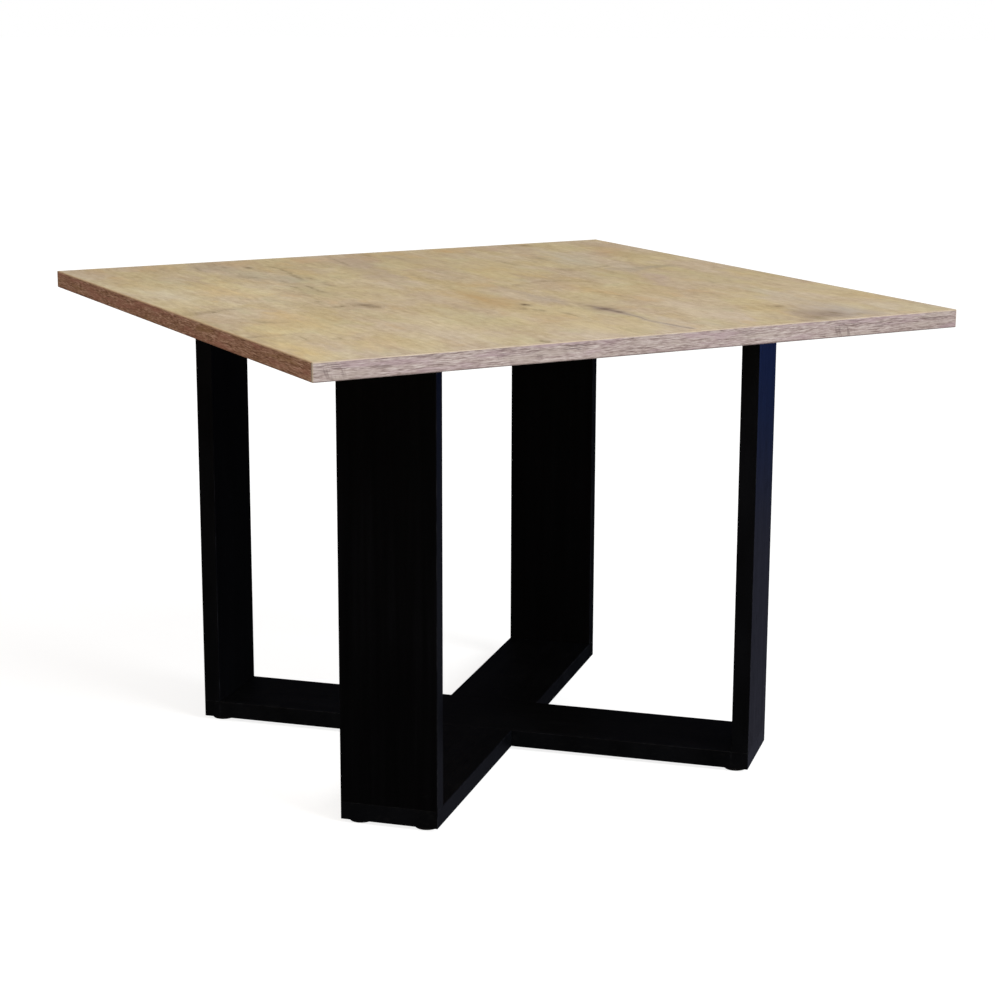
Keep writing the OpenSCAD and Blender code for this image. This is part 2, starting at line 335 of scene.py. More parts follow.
# Long cracks, each a path of (y, x, half width): dark where it's open
CRACKS = [
    ([(-340, 45, 0.9), (-331, 44, 2.0), (-312, 41, 2.1), (-293, 38, 1.3), (-271, 37, 1.4), (-252, 39.5, 1.6), (-216, 41, 2.3), (-190, 39.5, 2.6), (-165, 38, 0.0)], 0.53),
    ([(-160, 37, 0.0), (-110, 25, 1.8), (-50, 21, 2.0), (10, 23, 0.8), (40, 24, 0.0)], 0.10),
]
# Faint brown arcs, parts of the rings round a branch: (x, y, radius across, radius along, from, to in degrees, strength)
ARCS = [
    (84, -22, 58, 44, 6, 172, 0.36),
]


def local(net, x, y, cx, cy, rx, ry, lean):
    """Distance from (cx, cy) in units of the ellipse's radii, and the two parts of it."""
    a = math.radians(lean)
    dx, dy = net.sub(x, cx), net.sub(y, cy)
    # across = dx cos a - dy sin a, along = dx sin a + dy cos a
    across = net.madd(
        dx, math.cos(a) / rx, net.mul(dy, -math.sin(a) / rx)
    ) if lean else net.mul(dx, 1 / rx)
    along = net.madd(
        dx, math.sin(a) / ry, net.mul(dy, math.cos(a) / ry)
    ) if lean else net.mul(dy, 1 / ry)
    return (
        net.math("SQRT", net.madd(across, across, net.mul(along, along))),
        across,
        along,
    )


def spot(net, x, y, cx, cy, rx, ry, lean):
    """The same distance alone, from a place and radii in millimetres."""
    a = math.radians(lean)
    ca, sa = math.cos(a), math.sin(a)
    across = net.madd(y, -1000 * sa / rx, (cy * sa - cx * ca) / rx)
    across = net.madd(x, 1000 * ca / rx, across)
    along = net.madd(y, 1000 * ca / ry, -(cx * sa + cy * ca) / ry)
    along = net.madd(x, 1000 * sa / ry, along)
    return net.math("SQRT", net.madd(across, across, net.mul(along, along)))


def oak_top():
    m, net, shader = material("oak_decor_top")
    x, y, z = net.split(net.point())
    p = net.point()
    up = net.smooth(z, 0.480, 0.4815)  # 1 on the top face, 0 on the underside

    # The grain runs nearly along Y, three degrees off, and wanders a little
    slow = net.noise(net.xyz(net.mul(x, 5.0), net.mul(y, 2.2), 0.3), detail=2.0)
    slow2 = net.noise(net.xyz(net.mul(x, 26.0), net.mul(y, 7.0), 4.1), detail=2.0)
    bend = net.add(
        net.mul(net.sub(slow, 0.5), 0.030), net.mul(net.sub(slow2, 0.5), 0.006)
    )
    gx = net.add(net.madd(y, -0.05, x), bend)
    # and parts round the larger knots
    for kx, ky, rx, ry, lean, s in KNOTS[:1] + KNOTS[3:6]:
        r, across, along = local(
            net, x, y, kx / 1000, ky / 1000, rx * 2.6 / 1000, ry * 2.6 / 1000, lean
        )
        pull = net.math("EXPONENT", net.mul(net.mul(r, r), -1.0))
        gx = net.madd(net.mul(across, pull), -rx * 1.5 / 1000, gx)

    # Wobbled coordinates, so that no patch or knot is a clean ellipse
    wob = net.noise(net.xyz(net.mul(x, 60.0), net.mul(y, 26.0), 1.7), detail=3.0)
    wob2 = net.noise(net.xyz(net.mul(x, 60.0), net.mul(y, 26.0), 9.2), detail=3.0)
    ux = net.madd(net.sub(wob, 0.5), 0.030, x)
    uy = net.madd(net.sub(wob2, 0.5), 0.080, y)
    wob3 = net.noise(net.xyz(net.mul(x, 150.0), net.mul(y, 60.0), 5.7), detail=3.0)
    kx_ = net.madd(net.sub(wob3, 0.5), 0.0075, net.madd(net.sub(wob, 0.5), 0.0060, x))
    ky_ = net.madd(net.sub(wob2, 0.5), 0.018, y)

    # Base tone: broad bands along the grain, then finer ones
    broad = net.noise(net.xyz(net.mul(gx, 14.0), net.mul(y, 1.5), 2.0), detail=3.0, rough=0.55)
    bands = net.noise(net.xyz(net.mul(gx, 62.0), net.mul(y, 7.5), 5.0), detail=4.0, rough=0.6)
    fine = net.noise(net.xyz(net.mul(gx, 250.0), net.mul(y, 30.0), 8.0), detail=4.0, rough=0.65)
    figure = net.noise(net.xyz(net.mul(x, 130.0), net.mul(y, 84.0), 41.0), detail=3.0, rough=0.65)
    soft = net.noise(net.xyz(net.mul(ux, 34.0), net.mul(uy, 13.0), 15.0), detail=4.0, rough=0.6)
    hue = net.noise(net.xyz(net.mul(ux, 19.0), net.mul(uy, 8.0), 12.0), detail=3.0, rough=0.55)
    hue2 = net.noise(net.xyz(net.mul(ux, 24.0), net.mul(uy, 11.0), 33.0), detail=3.0, rough=0.55)
    tone = net.add(
        net.madd(net.sub(soft, 0.5), 0.75, net.mul(net.sub(broad, 0.5), 0.55)),
        net.add(net.mul(net.sub(bands, 0.5), 0.36), net.mul(net.sub(fine, 0.5), 0.28)),
    )
    tone = net.add(tone, net.madd(net.sub(figure, 0.5), 0.56, 0.5))
    warm = net.ramp(
        tone,
        (0.10, oak(170, 148, 112)),
        (0.36, oak(186, 165, 126)),
        (0.56, oak(196, 177, 138)),
        (0.85, oak(208, 190, 152)),
    )
    pink = net.ramp(
        tone,
        (0.10, oak(166, 143, 118)),
        (0.36, oak(183, 161, 133)),
        (0.56, oak(193, 173, 146)),
        (0.85, oak(206, 188, 163)),
    )
    colour = net.mix(net.smooth(hue, 0.36, 0.64), warm, pink)
    # Here and there more orange, or a greener grey
    colour = net.mix(
        net.mul(net.smooth(hue2, 0.54, 0.70), 0.42), colour, oak(198, 166, 120)
    )
    colour = net.mix(
        net.mul(net.smooth(hue2, 0.46, 0.30), 0.40), colour, oak(188, 178, 142)
    )

    # Annual rings drawn out along the grain, only just seen
    ring = net.math(
        "SINE",
        net.madd(gx, 620.0, net.mul(net.sub(broad, 0.5), 26.0)),
    )
    ring = net.math("POWER", net.line(ring, -1.0, 1.0, 0.0, 1.0), 2.2)
    ring_here = net.smooth(
        net.noise(net.xyz(net.mul(x, 7.0), net.mul(y, 2.4), 21.0), detail=1.0), 0.46, 0.66
    )
    colour = net.mix(
        net.mul(net.mul(ring, ring_here), 0.15), colour, oak(166, 136, 96)
    )

    # Soft patches of colour, broken up along the grain
    broken = net.add(
        net.line(bands, 0.30, 0.70, 0.45, 1.20), net.mul(net.sub(fine, 0.5), 0.9)
    )
    broken = net.mul(broken, up)
    for cx, cy, rx, ry, lean, rgb, s in PATCHES:
        r = spot(net, ux, uy, cx, cy, rx * 1.35, ry * 1.35, lean)
        colour = net.mix(net.mul(net.smooth(r, 1.0, 0.1, 0.0, s), broken), colour, oak(*rgb))

    # The colour is made a little lighter at the back left and the back right, and cooler along the front
    for cx, cy, size, gain in (
        (-260, 110, 250, (1.09, 1.12, 1.13)),
        (160, 190, 150, (1.07, 1.10, 1.13)),
        (0, -350, 130, (1.0, 1.02, 1.10)),
    ):
        far = net.math("ABSOLUTE", net.sub(y, cy / 1000))
        if size > 130:
            far = net.math("SQRT", net.madd(far, far, net.math("POWER", net.math("ABSOLUTE", net.sub(x, cx / 1000)), 2.0)))
        colour = net.mix(net.mul(net.smooth(far, size / 1000, 0.0), up), colour, gain, "MULTIPLY")

    # The fibre goes over the patches too
    colour = net.mix(
        1.0,
        colour,
        net.ramp(fine, (0.30, (0.94, 0.94, 0.935)), (0.70, (1.05, 1.05, 1.055))),
        "MULTIPLY",
    )
    colour = net.mix(
        1.0,
        colour,
        net.ramp(figure, (0.30, (0.962, 0.978, 0.990)), (0.70, (1.038, 1.056, 1.068))),
        "MULTIPLY",
    )

    speck = net.smooth(net.noise(net.xyz(net.mul(x, 420.0), net.mul(y, 60.0), 3.3), detail=3.0), 0.30, 0.62)
    rag = net.noise(
        net.xyz(net.mul(x, 135.0), net.mul(y, 74.0), 7.9), detail=3.0, rough=0.6
    )
    ragged = net.smooth(rag, 0.40, 0.58)

    # Faint arcs of the rings round a branch, broken up too
    for cx, cy, rx, ry, a0, a1, s in ARCS:
        r, across, along = local(net, kx_, ky_, cx / 1000, cy / 1000, rx / 1000, ry / 1000, 0)
        turn = net.math("ARCTAN2", along, across)
        mid, half = math.radians((a0 + a1) / 2), math.radians((a1 - a0) / 2)
        off = net.math("ABSOLUTE", net.math("WRAP", net.sub(turn, mid), math.pi, -math.pi))
        f = net.mul(
            net.mul(
                net.smooth(net.math("ABSOLUTE", net.sub(r, 1.0)), 0.20, 0.0),
                net.madd(ragged, 0.75, 0.35),
            ),
            net.smooth(off, half, half * 0.45),
        )
        colour = net.mix(net.mul(net.mul(f, s), up), colour, oak(150, 122, 88))

    # Checks: short ragged strokes, each in a wider soft smear
    dark = 0.0
    smear = 0.0
    for cx, cy, rx, ry, lean, s in CHECKS:
        r = spot(net, kx_, ky_, cx, cy, rx * 1.6, ry * 1.3, lean)
        dark = net.math("MAXIMUM", dark, net.smooth(r, 1.05, 0.15, 0.0, s))
        if s > 0.25:
            smear = net.math("MAXIMUM", smear, net.smooth(r, 2.3, 0.5, 0.0, s * 0.36))
    dark = net.mul(dark, net.madd(ragged, 0.85, 0.35))
    dark = net.mul(dark, net.madd(speck, 0.40, 0.65))

    # Long cracks
    t = net.line(y, -0.35, 0.35)
    open_ = 0.0
    shade = 0.0
    for path, s in CRACKS:
        cx = net.curve(t, [((py + 350) / 700, 0.5 + px / 700) for py, px, _ in path])
        w = net.curve(t, [((py + 350) / 700, pw / 20) for py, _, pw in path])
        inside = net.mul(
            net.smooth(y, path[0][0] / 1000 - 0.001, path[0][0] / 1000 + 0.001),
            net.smooth(y, path[-1][0] / 1000 + 0.001, path[-1][0] / 1000 - 0.001),
        )
        away = net.math(
            "ABSOLUTE", net.sub(net.madd(net.sub(cx, 0.5), 0.7, 0.0), kx_)
        )
        w = net.mul(net.mul(w, 0.020), inside)
        edge = net.math("DIVIDE", away, net.add(w, 0.00005))
        open_ = net.math("MAXIMUM", open_, net.mul(net.smooth(edge, 1.35, 0.35), s))
        shade = net.math(
            "MAXIMUM", shade, net.mul(net.smooth(edge, 4.4, 0.8), s * 0.95)
        )
    open_ = net.mul(open_, net.madd(speck, 0.35, 0.65))
    open_ = net.mul(open_, net.madd(ragged, 0.60, 0.50))

    # Knots: a dark core, rings and a grey-brown halo
    halo = 0.0
    core = 0.0
    for cx, cy, rx, ry, lean, s in KNOTS:
        r = spot(net, kx_, ky_, cx, cy, rx, ry, lean)
        halo = net.math("MAXIMUM", halo, net.smooth(r, 2.6, 0.6, 0.0, s * 0.62))
        core = net.math("MAXIMUM", core, net.smooth(r, 1.15, 0.15, 0.0, s))
    # Their grain shows through
    core = net.mul(core, net.madd(fine, 0.9, 0.52))

    colour = net.mix(net.mul(halo, up), colour, oak(152, 132, 108))
    colour = net.mix(net.mul(smear, up), colour, oak(156, 140, 116))
    colour = net.mix(net.mul(shade, up), colour, oak(171, 157, 146))
    colour = net.mix(net.mul(dark, up), colour, oak(112, 94, 68))
    colour = net.mix(net.mul(core, up), colour, oak(96, 76, 60))
    colour = net.mix(net.mul(open_, up), colour, oak(108, 91, 82))

    # Pores: fine dark dashes along the grain, thicker in the early wood
    pore_a = net.noise(net.xyz(net.mul(gx, 1500.0), net.mul(y, 60.0), 3.0), detail=1.0)
    pore_b = net.noise(net.xyz(net.mul(gx, 760.0), net.mul(y, 34.0), 6.0), detail=2.0)
    pores = net.mul(
        net.smooth(net.biggest(pore_a, pore_b), 0.62, 0.74),
        net.line(bands, 0.3, 0.7, 1.0, 0.35),
    )
    colour = net.mix(net.mul(pores, 0.34), colour, oak(128, 104, 76))

    # Where hands and trays rub, near the edges, the decor is a little duller and paler
    edge = net.math("MAXIMUM", net.math("ABSOLUTE", x), net.math("ABSOLUTE", y))
    rub = net.mul(
        net.smooth(edge, 0.325, 0.348),
        net.smooth(net.noise(net.grow(p, 30.0), detail=3.0), 0.45, 0.70),
    )
    colour = net.mix(net.mul(rub, 0.10), colour, oak(216, 204, 182))

    rough = net.add(
        net.add(0.50, net.mul(net.sub(fine, 0.5), 0.14)),
        net.add(net.mul(pores, 0.12), net.mul(rub, 0.06)),
    )
    rough = net.add(rough, net.mul(net.biggest(open_, core, dark), 0.10))
    height = net.sub(
        net.mul(fine, 0.30),
        net.add(net.mul(pores, 0.8), net.mul(net.biggest(open_, net.mul(core, 0.5)), 1.0)),
    )
    finish_shader(
        net, shader, colour, rough, height, 0.00010, Specular_IOR_Level=0.25
    )
    return m




# ---------------------------------------------------------------- edge bands


# Knotty places of the pale band: (distance from the left end, height of the middle, half length, half height, dashes, strokes), in millimetres
KNOTTY = [
    (20, 12.5, 17, 6.0, 0.9, 0.8),
    (66, 9.5, 10, 3.0, 0.5, 0.0),
    (118, 14.0, 18, 3.0, 0.5, 0.2),
    (190, 12.5, 18, 4.0, 0.5, 0.4),
    (222, 9.0, 10, 5.0, 0.6, 0.4),
    (260, 12.5, 20, 4.0, 0.9, 0.2),
    (346, 13.0, 10, 4.0, 0.4, 0.5),
    (455, 12.0, 22, 4.0, 0.4, 0.3),
    (564, 12.0, 17, 6.0, 0.8, 0.9),
    (604, 9.5, 16, 4.0, 0.8, 0.1),
    (630, 12.5, 12, 3.0, 0.6, 0.2),
    (672, 11.0, 16, 5.0, 0.7, 0.2),
]


def band(name, along, side, tint, knotty=(), grip=1.0):
    """A 2 mm band round the top: the same oak, its streaks along the edge, in a colour set that holds painted light.
    along is 0 for a band that runs along X and 1 along Y, side its outward sign.
    """
    m, net, shader = material(name)
    x, y, z = net.split(net.point())
    s = x if along == 0 else y
    o = 7.3 * side + 31.0 * along
    wave = net.noise(net.xyz(net.mul(s, 13.0), o + 1, net.mul(z, 30.0)), detail=2.0)
    wave2 = net.noise(net.xyz(net.mul(s, 60.0), o + 2, net.mul(z, 120.0)), detail=2.0)
    zz = net.madd(net.sub(wave, 0.5), 0.0036, net.madd(net.sub(wave2, 0.5), 0.0010, z))
    wide = net.noise(net.xyz(net.mul(s, 11.0), o, net.mul(zz, 300.0)), detail=3.0, rough=0.6)
    mid = net.noise(net.xyz(net.mul(s, 38.0), o + 4, net.mul(zz, 980.0)), detail=4.0, rough=0.62)
    fine = net.noise(net.xyz(net.mul(s, 125.0), o + 8, net.mul(zz, 1400.0)), detail=3.0, rough=0.60)
    tone = net.add(
        0.5,
        net.add(
            net.mul(net.sub(wide, 0.5), 0.24 * grip),
            net.add(
                net.mul(net.sub(mid, 0.5), 1.05 * grip), net.mul(net.sub(fine, 0.5), 2.05 * grip)
            ),
        ),
    )
    colour = net.ramp(
        tone,
        (0.12, tint[0]),
        (0.38, tint[1]),
        (0.60, tint[2]),
        (0.88, tint[3]),
    )
    # Patches of two other tones, longer than they are high
    hue = net.noise(net.xyz(net.mul(s, 17.0), o + 12, net.mul(zz, 130.0)), detail=3.0, rough=0.6)
    colour = net.mix(net.mul(net.smooth(hue, 0.50, 0.66), 0.50), colour, tint[4])
    colour = net.mix(net.mul(net.smooth(hue, 0.46, 0.32), 0.50), colour, tint[5])
    # Dark dashes in the early wood
    split = net.noise(net.xyz(net.mul(s, 60.0), o + 16, net.mul(zz, 1100.0)), detail=3.0, rough=0.55)
    dash = net.mul(net.smooth(split, 0.60, 0.70), 0.36)
    # More of them at the knots, with fine checks across the grain
    stroke = 0.0
    if knotty:
        cut = net.noise(
            net.xyz(
                net.mul(net.madd(net.sub(z, 0.481), 0.30, s), 430.0), o + 20, net.mul(z, 75.0)
            ),
            detail=3.0,
        )
        cut = net.smooth(cut, 0.54, 0.66)
        few = net.smooth(split, 0.50, 0.60)
        for c, h, rs, rz, dashes, strokes in knotty:
            u = net.mul(net.sub(s, (c - 350) / 1000), 1000 / rs)
            v = net.mul(net.sub(zz, 0.472 + h / 1000), 1000 / rz)
            r = net.math("SQRT", net.madd(u, u, net.mul(v, v)))
            here = net.smooth(r, 1.35, 0.45)
            dash = net.math("MAXIMUM", dash, net.mul(net.mul(here, few), dashes))
            if strokes:
                v = net.mul(net.sub(zz, 0.472 + (h - 5) / 1000), 1000 / (rz + 1))
                r = net.math("SQRT", net.madd(u, u, net.mul(v, v)))
                stroke = net.math(
                    "MAXIMUM", stroke, net.mul(net.mul(net.smooth(r, 1.25, 0.4), cut), strokes)
                )
    colour = net.mix(net.mul(dash, 0.80), colour, tint[6])
    if knotty:
        colour = net.mix(net.mul(stroke, 0.50), colour, tint[6])

    # The upper arris and, on the bands along X, the vertical corners are painted paler: partly rubbed wear, partly a
    # painted highlight. The lower arris is made darker.
    top = net.smooth(z, 0.48860, 0.48950)
    low = net.smooth(z, 0.47390, 0.47240)
    arris_wear_and_highlight = net.smooth(net.noise(net.xyz(net.mul(s, 60.0), o, 1.0), detail=3.0), 0.25, 0.60)
    colour = net.mix(net.mul(top, net.madd(arris_wear_and_highlight, 0.30, 0.60)), colour, tint[7])
    colour = net.mix(net.mul(low, net.madd(arris_wear_and_highlight, 0.25, 0.45)), colour, tint[0])
    if along == 0:
        corner = net.smooth(net.math("ABSOLUTE", s), 0.34855, 0.34930)
        colour = net.mix(net.mul(corner, net.madd(arris_wear_and_highlight, 0.30, 0.40)), colour, tint[7])

    rough = net.add(0.46, net.add(net.mul(net.sub(mid, 0.5), 0.16), net.mul(dash, 0.12)))
    rough = net.add(rough, net.mul(top, 0.05))
    height = net.sub(net.madd(fine, 0.3, net.mul(mid, 0.5)), dash)
    finish_shader(net, shader, colour, rough, height, 0.00008, Specular_IOR_Level=0.28)
    return m


# Darkest, dark, light, lightest, two other tones, dashes, arris. The first set, for the lit sides, has a painted grey
# sheen in its colours
SHEEN_LIT_BAND = (
    srgb(126, 108, 102, 0.665),
    srgb(166, 148, 143, 0.665),
    srgb(184, 168, 163, 0.665),
    srgb(210, 197, 190, 0.665),
    srgb(178, 154, 160, 0.665),
    srgb(184, 170, 160, 0.665),
    srgb(100, 82, 80, 0.665),
    srgb(206, 188, 160, 0.68),
)
# The second set is the same oak for the left side: its browner, warmer colours are painted shade
WARM_SHADED_BAND = (
    srgb(98, 64, 42, 1.29),
    srgb(134, 98, 74, 1.29),
    srgb(152, 115, 92, 1.29),
    srgb(182, 148, 126, 1.29),
    srgb(148, 98, 82, 1.29),
    srgb(134, 102, 64, 1.29),
    srgb(78, 48, 34, 1.29),
    srgb(174, 152, 120, 1.29),
)


# ---------------------------------------------------------------- black boards


def black_board(name, kind, sign):
    """The black laminate of the base. The boards lie on the diagonals: kind is "rail" or "upright", sign 1 for the diagonal from front left to back right and -1 for the other."""
    m, net, shader = material(name)
    x, y, z = net.split(net.point())
    h = math.sqrt(0.5)
    along = net.madd(x, h, net.mul(y, h * sign))
    across = net.madd(x, -h * sign, net.mul(y, h)) if sign > 0 else net.madd(x, h, net.mul(y, h))
    if sign < 0:
        along = net.madd(x, h, net.mul(y, -h))
    # The grain of the pressed surface runs along the board
    if kind == "upright":
        run, wide = z, across
    else:
        run, wide = along, across
    o = 3.0 * sign
    p = net.xyz(wide, run, net.add(along if kind == "upright" else z, o))
    pore = net.noise(
        net.xyz(net.mul(wide, 900.0), net.mul(run, 46.0), net.mul(along, 3.0)), detail=2.0
    )
    streak = net.noise(
        net.xyz(net.mul(wide, 130.0), net.mul(run, 4.0), net.add(net.mul(along, 2.0), o)),
        detail=4.0,
        rough=0.6,
    )
    cloud = net.noise(net.xyz(net.mul(x, 9.0), net.mul(y, 9.0), net.mul(z, 6.0)), detail=3.0)
    grit = net.noise(net.xyz(net.mul(x, 1400.0), net.mul(y, 1400.0), net.mul(z, 1400.0)), detail=1.0)
    pores = net.smooth(pore, 0.58, 0.72)
    tone = net.add(
        0.5, net.add(net.mul(net.sub(streak, 0.5), 0.8), net.mul(net.sub(cloud, 0.5), 0.7))
    )
    colour = net.ramp(
        tone,
        (0.20, (0.0005, 0.0005, 0.0006)),
        (0.55, (0.0011, 0.0011, 0.0014)),
        (0.85, (0.0024, 0.0025, 0.0033)),
    )
    colour = net.mix(net.mul(pores, 0.5), colour, (0.0005, 0.0005, 0.0006))
    # A little dust lies on what faces up, and scuffs gather low on the uprights
    nz = net.split(net.normal())[2]
    dust = net.mul(
        net.smooth(nz, 0.7, 1.0),
        net.smooth(net.noise(net.xyz(net.mul(x, 70.0), net.mul(y, 70.0), 2.0), detail=5.0, rough=0.7), 0.42, 0.75),
    )
    low = net.smooth(z, 0.070, 0.012)
    scuff = net.mul(
        low,
        net.smooth(net.noise(net.xyz(net.mul(wide, 60.0), net.mul(z, 260.0), net.mul(along, 60.0)), detail=4.0, rough=0.7), 0.56, 0.72),
    )
    colour = net.mix(net.mul(dust, 0.20), colour, (0.006, 0.006, 0.0065))
    colour = net.mix(net.mul(scuff, 0.20), colour, (0.008, 0.008, 0.008))
    rough = net.add(
        net.add(0.39, net.mul(net.sub(streak, 0.5), 0.16)),
        net.add(net.mul(pores, 0.14), net.add(net.mul(dust, 0.06), net.mul(scuff, 0.08))),
    )
    rough = net.add(rough, net.mul(net.sub(cloud, 0.5), 0.10))
    height = net.add(
        net.sub(net.mul(streak, 0.25), net.mul(pores, 1.0)), net.mul(grit, 0.25)
    )
    finish_shader(net, shader, colour, rough, height, 0.00006, Specular_IOR_Level=0.10)
    return m


def black_band_of(name):
    """The 1 mm black band on the boards' narrow edges: plain satin plastic with a fine grain, paler along its arrises:
    partly rubbed wear, partly a painted highlight.
    """
    m, net, shader = material(name)
    x, y, z = net.split(net.point())
    h = math.sqrt(0.5)
    u, v = net.madd(x, h, net.mul(y, h)), net.madd(x, -h, net.mul(y, h))
    au, av = net.math("ABSOLUTE", u), net.math("ABSOLUTE", v)
    grit = net.noise(net.xyz(net.mul(x, 900.0), net.mul(y, 900.0), net.mul(z, 300.0)), detail=2.0)
    cloud = net.noise(net.xyz(net.mul(x, 30.0), net.mul(y, 30.0), net.mul(z, 14.0)), detail=3.0)
    colour = net.ramp(
        net.madd(net.sub(cloud, 0.5), 0.9, 0.5),
        (0.25, (0.0010, 0.0011, 0.0014)),
        (0.75, (0.0030, 0.0033, 0.0044)),
    )

    # Distance to the nearest arris: |u| or |v| at 0.05, at the two faces of an upright and at a rail's end
    def near(value, at, reach):
        return net.smooth(net.math("ABSOLUTE", net.sub(value, at)), reach, reach * 0.3)

    across = net.biggest(near(au, 0.05, 0.0006), near(av, 0.05, 0.0006))
    through = net.biggest(
        near(au, 0.307, 0.0006), near(av, 0.307, 0.0006), near(au, 0.289, 0.0006), near(av, 0.289, 0.0006)
    )
    level = net.biggest(
        near(z, 0.0040, 0.0006), near(z, 0.0220, 0.0006), near(z, 0.454, 0.0006), near(z, 0.472, 0.0006)
    )
    arris = net.biggest(
        net.mul(across, through), net.mul(across, level), net.mul(through, level)
    )
    arris_wear_and_highlight = net.smooth(
        net.noise(net.xyz(net.mul(x, 120.0), net.mul(y, 120.0), net.mul(z, 50.0)), detail=4.0, rough=0.65), 0.44, 0.66
    )
    arris = net.mul(arris, arris_wear_and_highlight)
    # Paler arrises: partly rubbed wear, partly a painted highlight
    colour = net.mix(net.mul(arris, 0.5), colour, (0.018, 0.019, 0.022))
    scuff = net.mul(
        net.smooth(z, 0.060, 0.010),
        net.smooth(net.noise(net.xyz(net.mul(x, 160.0), net.mul(y, 160.0), net.mul(z, 300.0)), detail=4.0), 0.56, 0.70),
    )
    colour = net.mix(net.mul(scuff, 0.2), colour, (0.008, 0.008, 0.008))
    rough = net.add(
        net.madd(net.sub(cloud, 0.5), 0.12, 0.38),
        net.add(net.mul(net.sub(grit, 0.5), 0.10), net.mul(scuff, 0.08)),
    )
    finish_shader(net, shader, colour, rough, grit, 0.00003, Specular_IOR_Level=0.12)
    return m


def nylon():
    m, net, shader = material("glide_nylon")
    x, y, z = net.split(net.point())
    grit = net.noise(net.xyz(net.mul(x, 2200.0), net.mul(y, 2200.0), net.mul(z, 2200.0)), detail=2.0)
    scratch = net.noise(net.xyz(net.mul(x, 260.0), net.mul(y, 1800.0), 1.0), detail=2.0)
    worn = net.mul(net.smooth(z, 0.0007, 0.0001), net.smooth(scratch, 0.42, 0.62))
    colour = net.ramp(grit, (0.3, (0.0040, 0.0040, 0.0045)), (0.7, (0.0090, 0.0090, 0.0100)))
    colour = net.mix(net.mul(worn, 0.5), colour, (0.045, 0.044, 0.042))
    rough = net.add(net.madd(net.sub(grit, 0.5), 0.16, 0.50), net.mul(worn, 0.15))
    finish_shader(
        net, shader, colour, rough, net.sub(grit, net.mul(worn, 0.6)), 0.00004, Specular_IOR_Level=0.30
    )
    return m


def zinc():
    m, net, shader = material("zinc_plate")
    x, y, z = net.split(net.point())
    mottle = net.noise(net.xyz(net.mul(x, 420.0), net.mul(y, 420.0), net.mul(z, 420.0)), detail=3.0)
    turned = net.noise(net.xyz(net.mul(x, 300.0), net.mul(y, 300.0), net.mul(z, 5200.0)), detail=2.0)
    dull = net.smooth(mottle, 0.46, 0.68)
    colour = net.mix(dull, (0.62, 0.63, 0.62), (0.47, 0.48, 0.49))
    colour = net.mix(
        net.mul(net.smooth(mottle, 0.62, 0.75), 0.35), colour, (0.44, 0.42, 0.34)
    )
    rough = net.add(net.mul(dull, 0.14), net.madd(net.sub(turned, 0.5), 0.18, 0.30))
    finish_shader(net, shader, colour, rough, turned, 0.00003, Metallic=1.0)
    return m


wear("tabletop_panel", oak_top())
# The left band wears the set with painted warm shade, the other three the set with painted grey sheen
wear("top_edge_front", band("oak_band_front", 0, -1, SHEEN_LIT_BAND, KNOTTY))
wear("top_edge_back", band("oak_band_back", 0, 1, SHEEN_LIT_BAND, [(700 - c, *k) for c, *k in KNOTTY[::2]]))
wear("top_edge_right", band("oak_band_right", 1, 1, SHEEN_LIT_BAND, [(c + 24, *k) for c, *k in KNOTTY[1::2]]))
wear("top_edge_left", band("oak_band_left", 1, -1, WARM_SHADED_BAND, grip=1.1))

boards = {
    ("upright", 1): black_board("black_upright_a", "upright", 1),
    ("upright", -1): black_board("black_upright_b", "upright", -1),
    ("rail", 1): black_board("black_rail_a", "rail", 1),
    ("rail", -1): black_board("black_rail_b", "rail", -1),
}
black_band = black_band_of("black_band")
for name in sorted(nodes):
    if "_edge_" in name or "_end_" in name:
        if not name.startswith("top_"):
            wear(name, black_band)
    elif name.startswith("upright_"):
        wear(name, boards["upright", 1 if name.endswith(("front_left", "back_right")) else -1])
    elif "_rail_" in name:
        wear(name, boards["rail", 1 if name.endswith("_a") else -1])
wear("glides", nylon())
steel = zinc()
for name in ("floor_confirmat_screws", "upper_confirmat_screws", "top_fixing_screws", "glide_nails"):
    wear(name, steel)


# ---------------------------------------------------------------- studio


def floor():
    bm = bmesh.new()
    bmesh.ops.create_circle(bm, cap_ends=True, segments=96, radius=30.0)
    me = bpy.data.meshes.new("studio_floor")
    bm.to_mesh(me)
    bm.free()
    o = bpy.data.objects.new("studio_floor", me)
    scene.collection.objects.link(o)
    m, net, shader = material("studio_floor")
    shader.inputs["Base Color"].default_value = (0.32, 0.32, 0.32, 1)
    shader.inputs["Roughness"].default_value = 0.9
    shader.inputs["Specular IOR Level"].default_value = 0.0
    shader.inputs["Emission Color"].default_value = (1, 1, 1, 1)
    # As bright as the backdrop to the eye, and dimmer as a light
    seen = net.node("ShaderNodeLightPath").outputs["Is Camera Ray"]
    net.put(shader.inputs["Emission Strength"], net.line(seen, 0.0, 1.0, *FLOOR_GLOW))
    # Open from below, so that the underside can be looked at
    mix = net.node("ShaderNodeMixShader")
    net.put(mix.inputs[0], net.node("ShaderNodeNewGeometry").outputs["Backfacing"])
    net.put(mix.inputs[1], shader.outputs[0])
    net.put(mix.inputs[2], net.node("ShaderNodeBsdfTransparent").outputs[0])
    out = next(n for n in m.node_tree.nodes if n.type == "OUTPUT_MATERIAL")
    net.put(out.inputs[0], mix.outputs[0])
    o.visible_glossy = False
    me.materials.append(m)


FLOOR_GLOW = 0.45, 0.84
floor()


